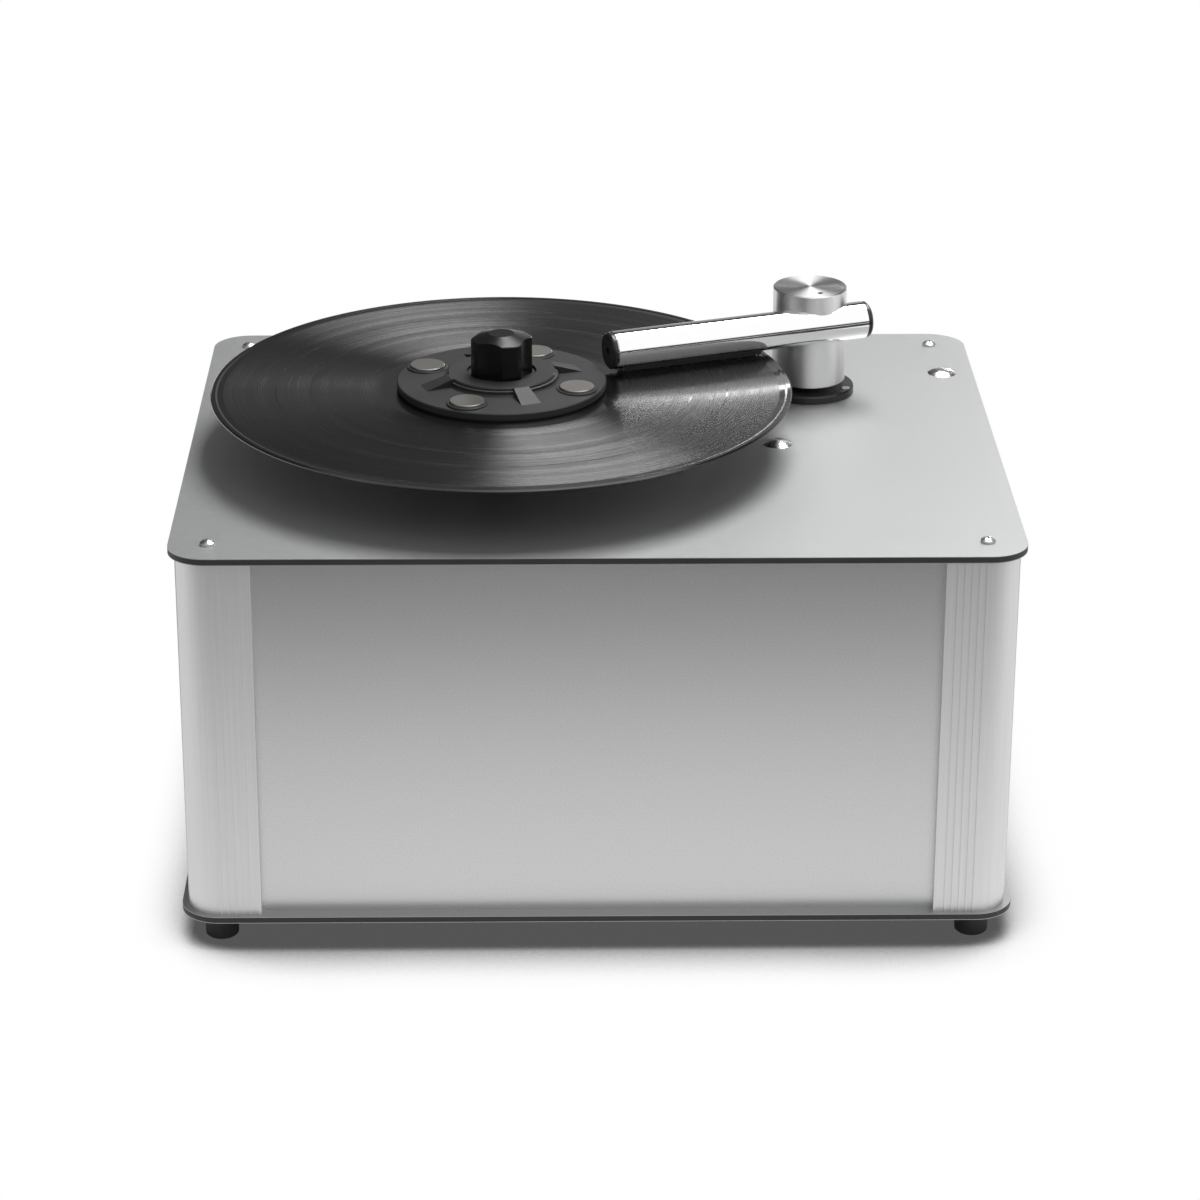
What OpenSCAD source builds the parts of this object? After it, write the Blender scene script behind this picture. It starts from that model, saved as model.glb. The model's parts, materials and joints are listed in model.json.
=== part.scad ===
// Record cleaning machine.
// A cabinet of four extruded corner posts, slide-in wall panels and sandwich top and base panels.
// A gear motor turns a small platter that carries the record under a magnetic label clamp, and a
// suction tube on a sprung, swinging column draws the fluid through its lips into a waste tank.
// Origin: centre of the cabinet on the surface that it stands on. +Z up, front towards -Y.

/* [Cabinet] */
// Width of the top and base panels
body_w = 419; // [412:1:440]
// Depth of the top and base panels
body_d = 336; // [330:1:352]
// Height of the corner posts and wall panels
post_h = 190; // [184:1:215]
// Thickness of the black core of a sandwich panel
core_t = 2.8; // [2.2:0.1:4]
// Thickness of each metal skin of a sandwich panel
skin_t = 0.3; // [0.3:0.1:0.6]
// Outer corner radius of the top and base panels
corner_r = 19.5; // [17:0.5:22]
// Overhang of the sandwich panels beyond the plain faces of the posts
overhang = 3.6; // [3:0.1:5]
// Height of the rubber feet below the base panel
foot_h = 15; // [12:0.5:22]
// Radius of a foot at the base panel
foot_top_r = 9.1; // [8:0.1:11]
// Radius of a foot at the floor
foot_bottom_r = 8.3; // [7:0.1:10]

/* [Corner posts and walls] */
// Width of one face of a corner post
post_face = 37.3; // [36:0.1:42]
// Wall thickness of the extrusion
post_wall = 2; // [1.6:0.1:2.4]
// Height of the ribs above the face of a post
rib_h = 0.6; // [0.4:0.1:1]
// Width of one rib
rib_w = 0.9; // [0.6:0.1:1.4]
// Spacing of the ribs
rib_pitch = 3.55; // [3:0.05:3.7]
// Distance of the first rib from the outer corner of a post
rib_start = 17.25; // [17:0.25:18]
// Depth of the wall panels behind the faces of the posts
panel_recess = 4.4; // [4:0.1:5.5]
// Thickness of the wall panels
wall_t = 3; // [2:0.1:3.5]
// Depth to which a wall panel slides into a post
groove_depth = 8; // [6:0.5:8.5]
// Outer radius of the screw boss inside a post
boss_r = 4.6; // [4:0.1:5.5]

/* [Platter and record] */
// Gap between the edge of the record and the arm's column
column_gap = 12.1; // [8:0.1:16]
// Direction of the spindle, seen from the column
spindle_direction = 205.33; // [203:0.01:208]
// Height of the playing surface above the top panel
record_rise = 29.3; // [28:0.1:34]
// Radius of the record
record_r = 150.5; // [148:0.5:151]
// Thickness of the grooved part of the record
groove_t = 1.5; // [1.2:0.1:1.8]
// Height of the label area and edge bead above the grooved surface
bead_h = 0.2; // [0.1:0.05:0.3]
// Radius of the platter
platter_r = 53; // [51:0.5:56]
// Thickness of the platter
platter_t = 7; // [6:0.5:8]
// Thickness of the rubber mat
mat_t = 1.2; // [0.8:0.1:2]
// Radius of the spindle shaft in its bushes
shaft_r = 5; // [4:0.1:5.5]
// Radius of the pin that the record centres on
pin_r = 3.55; // [3.4:0.05:3.6]
// Height of the pin above the playing surface
pin_rise = 12; // [10:0.5:14]

/* [Label clamp] */
// Radius of the clamp disc
clamp_r = 54.2; // [53:0.1:56]
// Height of the clamp disc's rim above the playing surface
clamp_rim_h = 4.7; // [4.5:0.1:5.5]
// Gap between the clamp disc and the playing surface, filled by the seal
seal_gap = 1; // [0.8:0.1:1.4]
// Radius of the upper step of the clamp hub
hub_r = 28; // [27:0.1:29]
// Height of the upper step of the clamp hub above the playing surface
hub_h = 9.3; // [9:0.1:11]
// Radius of the magnets
magnet_r = 9.05; // [8:0.05:9.5]
// Thickness of the magnets
magnet_t = 3.6; // [3:0.1:4]
// Height of the magnets' faces above the playing surface
magnet_h = 6.9; // [6.6:0.1:7.5]
// Radius of the circle that the magnets lie on
magnet_circle_r = 42.5; // [41.5:0.1:43]
// Direction of the first magnet
magnet_angle = -24; // [-45:1:0]
// Radius of the knob across its lobes
knob_r = 15.8; // [14:0.1:16.5]
// Height of the knob's rim above the playing surface
knob_rim_h = 26.9; // [24:0.1:32]
// Rise of the knob's conical crown
crown_h = 2.7; // [1:0.1:4]
// Radius of the disc that covers the knob's screw
knob_cap_r = 6.6; // [5:0.1:8]

/* [Suction arm] */
// Distance of the column from the right edge of the top panel
arm_from_right = 92.6; // [92:0.1:96]
// Distance of the column from the back edge of the top panel
arm_from_back = 93.5; // [92:0.5:97]
// Radius of the column
column_r = 19.7; // [19:0.1:21]
// Height of the column's foot above the top panel
column_foot_h = 7.2; // [7:0.1:8]
// Height of the column's top above the top panel
column_top_h = 58.7; // [57:0.1:64]
// Radius of the suction tube
tube_r = 10; // [9.5:0.1:10.5]
// Wall thickness of the suction tube
tube_wall = 2; // [1.8:0.1:2.5]
// Clear height between the suction tube and the playing surface
tube_gap = 1.6; // [1.4:0.1:2]
// Distance of the tube's axis from the axis of the column
tube_offset = 13; // [12:0.1:14]
// Distance by which the tube's axis misses the spindle
tube_aim = 3; // [0:0.5:4]
// Distance from the spindle at which the tube ends
tube_end_radius = 62.6; // [62:0.1:66]
// Length of the tube behind the column's axis
tube_tail = 25.3; // [24:0.1:28]
// Width of the suction slot
slot_w = 2.2; // [1.6:0.1:3]
// Radius of the port between the column's air passage and the suction tube
tube_port_r = 3.8; // [3:0.1:4.2]
// Thickness of the velvet lips
lip_t = 2.1; // [1.8:0.1:2.2]
// Radius of the black flange under the column
flange_r = 24.7; // [24.2:0.1:27]
// Thickness of the flange
flange_t = 4.1; // [3.6:0.1:4.4]
// Radius of the riser tube that carries the column
riser_r = 6.5; // [6:0.1:7]
// Radius of the riser's air passage
riser_bore_r = 4.5; // [3.5:0.1:4.8]
// Height to which the arm lifts by hand
arm_lift_up = 12; // [6:1:12]

/* [Waste tank and vacuum] */
// Width of the waste tank
tank_w = 95; // [85:1:95]
// Depth of the waste tank
tank_d = 109; // [100:1:109]
// Height of the waste tank
tank_h = 76; // [60:1:78]
// Wall thickness of the waste tank
tank_wall = 3; // [2:0.5:4]
// Thickness of the tank's lid
lid_t = 4; // [3:0.5:6]
// Radius of the vacuum motor's fan housing
fan_r = 56; // [45:1:56]
// Radius of the vacuum motor's can
can_r = 42; // [32:1:44]
// Outer radius of the air hose
hose_r = 11; // [10.5:0.5:13]
// Bend radius of the air hose
hose_bend_r = 30; // [26:1:34]

/* [Switches] */
// Half the length of a rocker
rocker_l = 7.8; // [6.5:0.1:8]
// Width of a rocker
rocker_w = 10.4; // [9:0.1:12]
// Tilt of a rocker to each side
rocker_tilt = 8; // [6:1:9]

/* [Hidden] */
$fn = 96;

// Clearances
slide_gap = 0.15;
running_gap = 0.05;
seat_gap = 0.05;

// Levels
panel_t = core_t + 2*skin_t;
base_z = foot_h;
post_z = base_z + panel_t;
under_top_z = post_z + post_h;
top_z = under_top_z + panel_t;
record_z = top_z + record_rise;

// Cabinet
face_x = body_w/2 - overhang;
face_y = body_d/2 - overhang;
post_r = corner_r - overhang;
post_bore_r = 1.9;
rib_count = 5;
lip_w = 1.5;
web_t = 1.5;
groove_wall = 1.4;
wall_x = face_x - panel_recess;
wall_y = face_y - panel_recess;
wall_edge_gap = 0.3;
wall_half_x = face_x - post_face + groove_depth - wall_edge_gap;
wall_half_y = face_y - post_face + groove_depth - wall_edge_gap;
corner_x = body_w/2 - corner_r;
corner_y = body_d/2 - corner_r;

// Column and spindle
arm_x = body_w/2 - arm_from_right;
arm_y = body_d/2 - arm_from_back;
spindle_distance = record_r + column_gap + column_r;
platter_x = arm_x + spindle_distance*cos(spindle_direction);
platter_y = arm_y + spindle_distance*sin(spindle_direction);

// Platter drive
label_r = 50;
bead_w = 3.5;
record_bottom_z = record_z - groove_t - bead_h;
mat_z = record_bottom_z - mat_t;
platter_z = mat_z - platter_t;
collar_r = 8;
drip_collar_h = 5;
bush_r = 8;
bush_l = 12;
housing_flange_r = 27;
housing_flange_t = 4;
housing_r = 12;
housing_l = 42;
bearing_screw_circle_r = 18;
standoff_circle_r = 40;
standoff_r = 4;
motor_plate_t = 3;
motor_plate_r = 46;
motor_plate_z = under_top_z - 80;
coupling_r = 10;
output_shaft_r = 4;
gearbox_r = 18.5;
gearbox_l = 26;
drive_motor_r = 18;
drive_motor_l = 50;

// Clamp
clamp_z = record_z + seal_gap;
seal_inner_r = 50.4;
seal_w = 2.9;
seal_groove = 1;
hub_step = 1.3;
hub_step_h = 7.6;
clamp_slope = 0.6;
knob_recess_r = 18.1;
knob_recess_h = 7.8;
flute_r = 20;
flute_depth = 2.9;
rib_angle = magnet_angle + 45;

// Arm
arm_angle = spindle_direction - asin((tube_offset + tube_aim)/spindle_distance);
spindle_along = sqrt(pow(spindle_distance, 2) - pow(tube_offset + tube_aim, 2));
tube_reach = spindle_along - tube_end_radius;
tube_h = record_rise + tube_gap + tube_r;
tube_bore_r = tube_r - tube_wall;
lip_seat = tube_r - 1.2;
lip_w_each = 3.4;
slot_start = spindle_along - record_r + bead_w + 2;
slot_end = tube_reach - 6;
cap_t = 2.4;
cap_spigot_l = 8;
bush_head_r = 14;
bush_head_t = 1.5;
bush_tube_r = 9.5;
bush_bottom_h = -30;
riser_collar_r = 9.4;
riser_collar_h = 14;
riser_collar_t = 2.5;
riser_seat_h = riser_collar_h + riser_collar_t + seat_gap;
riser_top_h = tube_h - tube_r - 0.6;
stop_ring_r = 8.4;
stop_ring_t = 2;
stop_ring_h = bush_bottom_h - arm_lift_up - 0.3 - stop_ring_t;
riser_bottom_h = stop_ring_h - 2;
nut_t = 6;
nut_r = 13;
cup_r = 11.2;
cup_floor_t = 3;
cup_outlet_r = 3.2;
cup_bottom_h = riser_bottom_h - 1.5 - cup_floor_t;
slit_w = 1.4;
slit_depth = 1;
slit_angle = 153.7;
spring_wire_r = 0.6;
spring_mean_r = 8.3;
spring_turns = 5;
spring_bottom_h = bush_head_t + 0.05;
flange_screw_circle_r = 21.9;

// Waste tank, hung from the lid by two bolts
tank_x0 = arm_x - 26.9;
tank_y0 = arm_y - 76.5;
bolt_a = [arm_x - 21.3, arm_y - 83.8];
bolt_b = [arm_x + 75.6, arm_y + 27];
lid_margin = 5.6;
bolt_head_r = 7.9;
bolt_head_h = 2.3;
bolt_r = 3;
gasket_t = 1.5;
tank_top_z = under_top_z - lid_t - gasket_t;
tank_bottom_z = tank_top_z - tank_h;

// Vacuum motor, standing on the base panel
vacuum_x = arm_x + 8;
vacuum_gap = 15.5;
vacuum_y = -wall_y + wall_t + vacuum_gap + fan_r;
buffer_h = 8;
can_h = 62;
fan_h = 36;
spigot_h = 14;
vacuum_z = post_z + buffer_h;
fan_z = vacuum_z + can_h;
spigot_z = fan_z + fan_h;
hose_port_z = tank_top_z - 19;
hose_bore_r = hose_r - 2;
spigot_r = hose_bore_r - 0.2;

// Drain and level tube on the rear panel
drain_x = tank_x0 + 47;
drain_z = tank_bottom_z + tank_wall + 7;
drain_r = 5;
drain_plug_l = 10;
level_tube_r = 3;
level_tube_bore_r = 2;
level_y = wall_y + 4.2;
level_top_z = tank_top_z - 6;
fitting_r = 3.6;
fitting_flange_r = 6.2;
fitting_half_h = fitting_flange_r + 0.4;

// Switches and inlet
rocker_end_h = 3.4;
rocker_mid_h = 1.6;
rocker_pivot_h = 0.6;
rocker_pin_r = 1;
rocker_gap = 0.3;
switch_wall = 1.2;
switch_depth = 16;
bezel_t = 2;
bezel_lip = 1;
well_l = norm([rocker_l, rocker_end_h]) + 0.25;
well_depth = 7.2;
switch_z = under_top_z - 32;
switch_pitch = 30;
platter_switch_y = -wall_half_y + 16.8;
vacuum_switch_y = platter_switch_y + switch_pitch;
inlet_x = -wall_half_x + 48.3;
power_switch_x = inlet_x + 34;
inlet_z = post_z + 48;
inlet_w = 27;
inlet_h = 20;
inlet_depth = 22;

module rounded_rect(w, d, r) {
    square([w - 2*r, d], center = true);
    square([w, d - 2*r], center = true);
    for (sx = [-1, 1], sy = [-1, 1])
        translate([sx*(w/2 - r), sy*(d/2 - r)]) circle(r = r);
}

module at_corners() {
    for (sx = [-1, 1], sy = [-1, 1]) translate([sx*corner_x, sy*corner_y, 0]) children();
}

module ring_of(count, r, start = 0) {
    for (i = [0:count - 1]) rotate(start + i*360/count) translate([r, 0, 0]) children();
}

module at_platter() {
    translate([platter_x, platter_y, 0]) children();
}

// Arm frame: origin on the top panel under the column, +X along the tube to its tip
module at_arm() {
    translate([arm_x, arm_y, top_z]) rotate([0, 0, arm_angle]) children();
}

// Pan-head screw with a cross recess, seat at z = 0, pointing down
module pan_screw(head_r, head_h, shank_r, shank_l) {
    difference() {
        union() {
            intersection() {
                cylinder(r = head_r, h = head_h);
                translate([0, 0, head_h - head_r*1.5]) sphere(r = head_r*1.5);
            }
            translate([0, 0, -shank_l]) cylinder(r = shank_r, h = shank_l + 0.1);
        }
        for (a = [0, 90]) rotate(a) translate([-head_r*0.5, -head_r*0.11, head_h*0.45])
            cube([head_r, head_r*0.22, head_h]);
    }
}

// Cabinet panels

module base_cutouts() {
    at_corners() circle(r = post_bore_r + 0.3);
    for (i = [-4:4]) translate([vacuum_x, vacuum_y + i*8]) rounded_rect(60 - 4*abs(i), 3, 1.4);
}

module top_cutouts() {
    at_corners() circle(r = post_bore_r + 0.3);
    at_platter() {
        circle(r = housing_r + 0.3);
        ring_of(3, bearing_screw_circle_r) circle(r = 1.6);
        ring_of(4, standoff_circle_r, 45) circle(r = 1.7);
    }
    translate([arm_x, arm_y]) rotate(arm_angle) {
        circle(r = bush_tube_r + 0.2);
        ring_of(3, flange_screw_circle_r, 136) circle(r = 1.3);
    }
    for (b = [bolt_a, bolt_b]) translate(b) circle(r = bolt_r + 0.2);
}

module sandwich_core(z) {
    translate([0, 0, z + skin_t]) linear_extrude(core_t) difference() {
        rounded_rect(body_w, body_d, corner_r);
        children();
    }
}

module sandwich_skins(z) {
    for (s = [0, skin_t + core_t]) translate([0, 0, z + s]) linear_extrude(skin_t) difference() {
        rounded_rect(body_w, body_d, corner_r);
        children();
    }
}

module base_panel_core() {
    color("#26282a") sandwich_core(base_z) base_cutouts();
}

module base_panel_skins() {
    color("#b9bbbd") sandwich_skins(base_z) base_cutouts();
}

module top_panel_core() {
    color("#26282a") sandwich_core(under_top_z) top_cutouts();
}

module top_panel_skins() {
    color("#b9bbbd") sandwich_skins(under_top_z) top_cutouts();
}

// One wing of the extrusion, with its outer face on y = 0 and the corner at the origin
module post_wing() {
    groove_back = panel_recess + wall_t + slide_gap;
    translate([-post_face, -post_wall]) square([post_face - post_r, post_wall]);
    for (i = [0:rib_count - 1])
        translate([-rib_start - i*rib_pitch - rib_w/2, -0.2]) square([rib_w, rib_h + 0.2]);
    translate([-post_face, -panel_recess]) square([lip_w, panel_recess + rib_h]);
    translate([-post_face, -panel_recess]) square([groove_depth + web_t, groove_wall]);
    translate([-post_face, -groove_back - groove_wall]) square([groove_depth + web_t, groove_wall]);
    translate([-post_face + groove_depth, -groove_back - groove_wall])
        square([web_t, groove_back + groove_wall - post_wall/2]);
    translate([-post_r - web_t/2, -post_r]) square([web_t, post_r - post_wall/2]);
}

module post_profile() {
    difference() {
        union() {
            translate([-post_r, -post_r]) {
                intersection() {
                    difference() {
                        circle(r = post_r);
                        circle(r = post_r - post_wall);
                    }
                    square(post_r);
                }
                circle(r = boss_r);
            }
            post_wing();
            mirror([1, -1, 0]) post_wing();
        }
        translate([-post_r, -post_r]) circle(r = post_bore_r + 0.1);
    }
}

module corner_post(sx, sy) {
    color("#c9cacb") mirror([sx < 0 ? 1 : 0, 0, 0]) mirror([0, sy < 0 ? 1 : 0, 0])
        translate([face_x, face_y, post_z]) linear_extrude(post_h) post_profile();
}

module corner_post_front_left() corner_post(-1, -1);
module corner_post_front_right() corner_post(1, -1);
module corner_post_rear_left() corner_post(-1, 1);
module corner_post_rear_right() corner_post(1, 1);

module front_panel() {
    color("#a5a7a9") translate([-wall_half_x, -wall_y, post_z]) cube([2*wall_half_x, wall_t, post_h]);
}

module left_panel() {
    color("#a5a7a9") translate([-wall_x, -wall_half_y, post_z]) cube([wall_t, 2*wall_half_y, post_h]);
}

module switch_cutout() {
    square([rocker_w + 2*rocker_gap + 2*switch_wall + 0.2, 2*well_l + 2*switch_wall + 0.2], center = true);
}

module right_panel() {
    color("#a5a7a9") translate([wall_x - wall_t, 0, 0]) rotate([90, 0, 90]) linear_extrude(wall_t)
        difference() {
            translate([-wall_half_y, post_z]) square([2*wall_half_y, post_h]);
            for (y = [platter_switch_y, vacuum_switch_y]) translate([y, switch_z]) switch_cutout();
        }
}

module rear_panel() {
    color("#a5a7a9") translate([0, wall_y, 0]) rotate([90, 0, 0]) linear_extrude(wall_t)
        difference() {
            translate([-wall_half_x, post_z]) square([2*wall_half_x, post_h]);
            translate([power_switch_x, inlet_z]) switch_cutout();
            translate([inlet_x, inlet_z]) square([inlet_w + 0.2, inlet_h + 0.2], center = true);
            for (s = [-1, 1]) translate([inlet_x + s*20, inlet_z]) circle(r = 1.7);
            translate([drain_x, drain_z]) circle(r = drain_r + 0.1);
            translate([drain_x, level_top_z]) circle(r = fitting_r + 0.1);
        }
}

module feet() {
    color("#1b1b1c") at_corners() difference() {
        rotate_extrude() polygon([
            [0, 0], [foot_bottom_r - 0.8, 0], [foot_bottom_r, 0.8], [foot_top_r, base_z], [0, base_z]
        ]);
        translate([0, 0, -1]) cylinder(r = 4.4, h = 6);
        cylinder(r = post_bore_r + 0.4, h = base_z + 1);
    }
}

module base_screws() {
    color("#d6d8da") at_corners() translate([0, 0, 5]) rotate([180, 0, 0])
        pan_screw(3.7, 2.6, post_bore_r, base_z + panel_t + 9);
}

module top_screws() {
    color("#d6d8da") at_corners() translate([0, 0, top_z]) pan_screw(3.7, 2.6, post_bore_r, panel_t + 12);
}

// Dome-head bolts that carry the waste tank under the top panel
module tank_bolts() {
    dome_r = (pow(bolt_head_r, 2) + pow(bolt_head_h, 2))/(2*bolt_head_h);
    color("#e2e4e6") for (b = [bolt_a, bolt_b]) translate([b.x, b.y, top_z]) {
        intersection() {
            cylinder(r = bolt_head_r, h = bolt_head_h + 1);
            translate([0, 0, bolt_head_h - dome_r]) sphere(r = dome_r);
        }
        translate([0, 0, -panel_t - lid_t - 10]) cylinder(r = bolt_r, h = panel_t + lid_t + 10.2);
    }
}

module tank_bolt_nuts() {
    color("#b9bbbd") for (b = [bolt_a, bolt_b]) translate([b.x, b.y, under_top_z - lid_t - 5]) difference() {
        cylinder(r = 5.7, h = 5, $fn = 6);
        translate([0, 0, -1]) cylinder(r = bolt_r + 0.02, h = 7);
    }
}

// Platter drive

module bearing_housing() {
    color("#8f9294") at_platter() difference() {
        union() {
            translate([0, 0, under_top_z - housing_flange_t]) cylinder(r = housing_flange_r, h = housing_flange_t);
            translate([0, 0, under_top_z - housing_l]) cylinder(r = housing_r, h = housing_l + panel_t);
        }
        translate([0, 0, under_top_z - housing_l - 1]) cylinder(r = bush_r, h = housing_l + panel_t + 2);
        translate([0, 0, under_top_z - housing_flange_t - 1]) ring_of(3, bearing_screw_circle_r)
            cylinder(r = 1.45, h = housing_flange_t + 2);
    }
}

module bearing_bushes() {
    color("#b08d4c") at_platter() for (z = [under_top_z - housing_l, top_z - bush_l]) translate([0, 0, z])
        difference() {
            cylinder(r = bush_r, h = bush_l);
            translate([0, 0, -1]) cylinder(r = shaft_r + running_gap, h = bush_l + 2);
        }
}

module drip_collar() {
    color("#1f2021") at_platter() difference() {
        translate([0, 0, top_z]) rotate_extrude() polygon([
            [housing_r + 0.3, 0], [24, 0], [24, 1.5], [21, 2.5], [15, 2.5], [14.4, drip_collar_h],
            [housing_r + 0.3, drip_collar_h]
        ]);
        translate([0, 0, top_z - 1]) ring_of(3, bearing_screw_circle_r) cylinder(r = 1.6, h = 6);
    }
}

module bearing_screws() {
    color("#d6d8da") at_platter() translate([0, 0, top_z + 2.5]) ring_of(3, bearing_screw_circle_r)
        pan_screw(2.6, 1.8, 1.45, panel_t + housing_flange_t + 2);
}

module spindle_shaft() {
    shaft_bottom_z = motor_plate_z + motor_plate_t + 12;
    shoulder_z = platter_z - 9;
    color("#c4c7ca") at_platter() rotate_extrude() polygon([
        [0, shaft_bottom_z], [shaft_r - 0.5, shaft_bottom_z], [shaft_r, shaft_bottom_z + 0.5],
        [shaft_r, top_z + 1], [collar_r, top_z + 1], [collar_r, shoulder_z], [shaft_r, shoulder_z],
        [shaft_r, mat_z - 2], [pin_r, mat_z - 2], [pin_r, record_z + pin_rise - 2],
        [pin_r - 1.4, record_z + pin_rise], [0, record_z + pin_rise]
    ]);
}

module platter() {
    color("#1e1f20") at_platter() difference() {
        union() {
            translate([0, 0, platter_z]) rotate_extrude() polygon([
                [0, 0], [platter_r - 4, 0], [platter_r, 3], [platter_r, platter_t], [0, platter_t]
            ]);
            translate([0, 0, platter_z - 9]) cylinder(r = 14, h = 9.1);
        }
        translate([0, 0, platter_z - 10]) cylinder(r = shaft_r + 0.03, h = platter_t + 8);
        translate([0, 0, platter_z - 10]) cylinder(r = pin_r + 0.05, h = platter_t + 12);
        translate([0, 0, mat_z - 3.1]) ring_of(4, magnet_circle_r, magnet_angle)
            cylinder(r = magnet_r + 0.1, h = 4);
    }
}

module platter_magnets() {
    color("#c9c6c0") at_platter() translate([0, 0, mat_z - 3.1]) ring_of(4, magnet_circle_r, magnet_angle)
        cylinder(r = magnet_r, h = 3);
}

module platter_mat() {
    color("#151515") at_platter() translate([0, 0, mat_z]) difference() {
        cylinder(r = platter_r - 0.5, h = mat_t);
        translate([0, 0, -1]) cylinder(r = pin_r + 1, h = mat_t + 2);
    }
}

// Raised label area and edge bead on both faces, with the grooved band between them
module record() {
    top = record_z;
    bottom = record_z - groove_t;
    hole = pin_r + 0.08;
    edge = record_r - bead_w;
    color("#141414") at_platter() rotate_extrude($fn = 240) polygon([
        [hole, bottom - bead_h], [label_r - 1, bottom - bead_h], [label_r, bottom], [edge, bottom],
        [edge + 1, bottom - bead_h], [record_r - 0.7, bottom - bead_h], [record_r, bottom + 0.5],
        [record_r, top - 0.5], [record_r - 0.7, top + bead_h], [edge + 1, top + bead_h], [edge, top],
        [label_r, top], [label_r - 1, top + bead_h], [hole, top + bead_h]
    ]);
}

module motor_plate() {
    color("#8f9294") at_platter() translate([0, 0, motor_plate_z]) difference() {
        cylinder(r = motor_plate_r, h = motor_plate_t);
        translate([0, 0, -1]) cylinder(r = 7, h = motor_plate_t + 2);
        translate([0, 0, -1]) ring_of(4, standoff_circle_r, 45) cylinder(r = 1.7, h = motor_plate_t + 2);
        translate([0, 0, -1]) ring_of(4, 14, 0) cylinder(r = 1.6, h = motor_plate_t + 2);
    }
}

module motor_standoffs() {
    z = motor_plate_z + motor_plate_t;
    color("#b9bbbd") at_platter() ring_of(4, standoff_circle_r, 45) {
        translate([0, 0, z]) cylinder(r = standoff_r, h = under_top_z - z, $fn = 6);
        translate([0, 0, motor_plate_z - 3]) cylinder(r = 1.45, h = motor_plate_t + 3.1);
        translate([0, 0, under_top_z - 0.1]) cylinder(r = 1.45, h = panel_t + 0.1);
    }
}

module gearbox() {
    color("#9b9ea1") at_platter() translate([0, 0, motor_plate_z - gearbox_l]) difference() {
        union() {
            cylinder(r = gearbox_r, h = gearbox_l);
            cylinder(r = 6, h = gearbox_l + motor_plate_t - 0.5);
        }
        translate([0, 0, gearbox_l - 8]) cylinder(r = output_shaft_r + running_gap, h = 20);
    }
}

module drive_motor() {
    top = motor_plate_z - gearbox_l;
    color("#c2c4c6") at_platter() {
        translate([0, 0, top - drive_motor_l]) cylinder(r = drive_motor_r, h = drive_motor_l);
        translate([0, 0, top - drive_motor_l - 3]) cylinder(r = 6, h = 3);
        for (s = [-1, 1]) translate([s*10 - 0.4, -2.4, top - drive_motor_l - 7]) cube([0.8, 4.8, 7]);
    }
}

// Clamp coupling on the spindle, with the gearbox's output shaft below it
module shaft_coupling() {
    shaft_bottom_z = motor_plate_z + motor_plate_t + 12;
    low_z = shaft_bottom_z - 10;
    color("#a9acae") at_platter() {
        difference() {
            translate([0, 0, low_z]) cylinder(r = coupling_r, h = 22);
            translate([0, 0, shaft_bottom_z - 0.3]) cylinder(r = shaft_r + 0.02, h = 20);
            translate([0, 0, low_z + 9.5]) translate([0, 0, 5.5]) rotate([0, 90, 0]) cylinder(r = 1.5, h = 20);
            for (z = [low_z + 6, low_z + 15]) translate([-coupling_r - 1, coupling_r - 3.4, z - 0.4])
                cube([2*coupling_r + 2, 4, 0.8]);
        }
        translate([0, 0, motor_plate_z - 7.5]) cylinder(r = output_shaft_r, h = low_z - motor_plate_z + 7.6);
    }
}

// Label clamp

module clamp_rib() {
    rise = hub_h - clamp_rim_h;
    rotate(rib_angle) intersection() {
        translate([0, 10, 0]) rotate([90, 0, 0]) linear_extrude(20) polygon([
            [hub_r - 3, clamp_z + 1], [43.5, clamp_z + 1], [43.5, record_z + clamp_rim_h + 0.1],
            [hub_r + 0.6, record_z + clamp_rim_h + rise], [hub_r - 3, record_z + clamp_rim_h + rise]
        ]);
        translate([0, 0, clamp_z]) linear_extrude(20) polygon([
            [hub_r - 4, -3.7], [44, -5.4], [44, 5.4], [hub_r - 4, 3.7]
        ]);
    }
}

module clamp_disc() {
    rim = record_z + clamp_rim_h;
    seat = rim + clamp_slope;
    color("#3a3b3d") at_platter() difference() {
        union() {
            rotate_extrude() polygon([
                [0, clamp_z], [clamp_r - 0.4, clamp_z], [clamp_r, clamp_z + 0.4], [clamp_r, rim - 0.5],
                [clamp_r - 0.5, rim], [hub_r + hub_step + 0.8, seat], [hub_r + hub_step, seat + 0.8],
                [hub_r + hub_step, record_z + hub_step_h], [hub_r, record_z + hub_step_h + 0.3],
                [hub_r, record_z + hub_h - 0.6], [hub_r - 0.6, record_z + hub_h], [0, record_z + hub_h]
            ]);
            for (i = [0:3]) rotate(i*90) clamp_rib();
            ring_of(4, magnet_circle_r, magnet_angle) rotate_extrude() polygon([
                [0, rim - 1], [magnet_r + 1.5, rim - 1], [magnet_r + 1.5, rim + 0.7],
                [magnet_r + 1.1, rim + 1.1], [0, rim + 1.1]
            ]);
        }
        translate([0, 0, clamp_z - 1]) cylinder(r = pin_r + 0.1, h = 12);
        translate([0, 0, record_z + knob_recess_h]) cylinder(r = knob_recess_r, h = 5);
        translate([0, 0, record_z + magnet_h - magnet_t]) ring_of(4, magnet_circle_r, magnet_angle)
            cylinder(r = magnet_r + 0.1, h = 6);
        translate([0, 0, clamp_z - 1]) difference() {
            cylinder(r = seal_inner_r + seal_w + 0.05, h = 1 + seal_groove);
            cylinder(r = seal_inner_r - 0.05, h = 3);
        }
    }
}

module clamp_magnets() {
    color("#c9c6c0") at_platter() translate([0, 0, record_z + magnet_h - magnet_t])
        ring_of(4, magnet_circle_r, magnet_angle) rotate_extrude() polygon([
            [0, 0], [magnet_r, 0], [magnet_r, magnet_t - 0.35], [magnet_r - 0.35, magnet_t], [0, magnet_t]
        ]);
}

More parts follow.
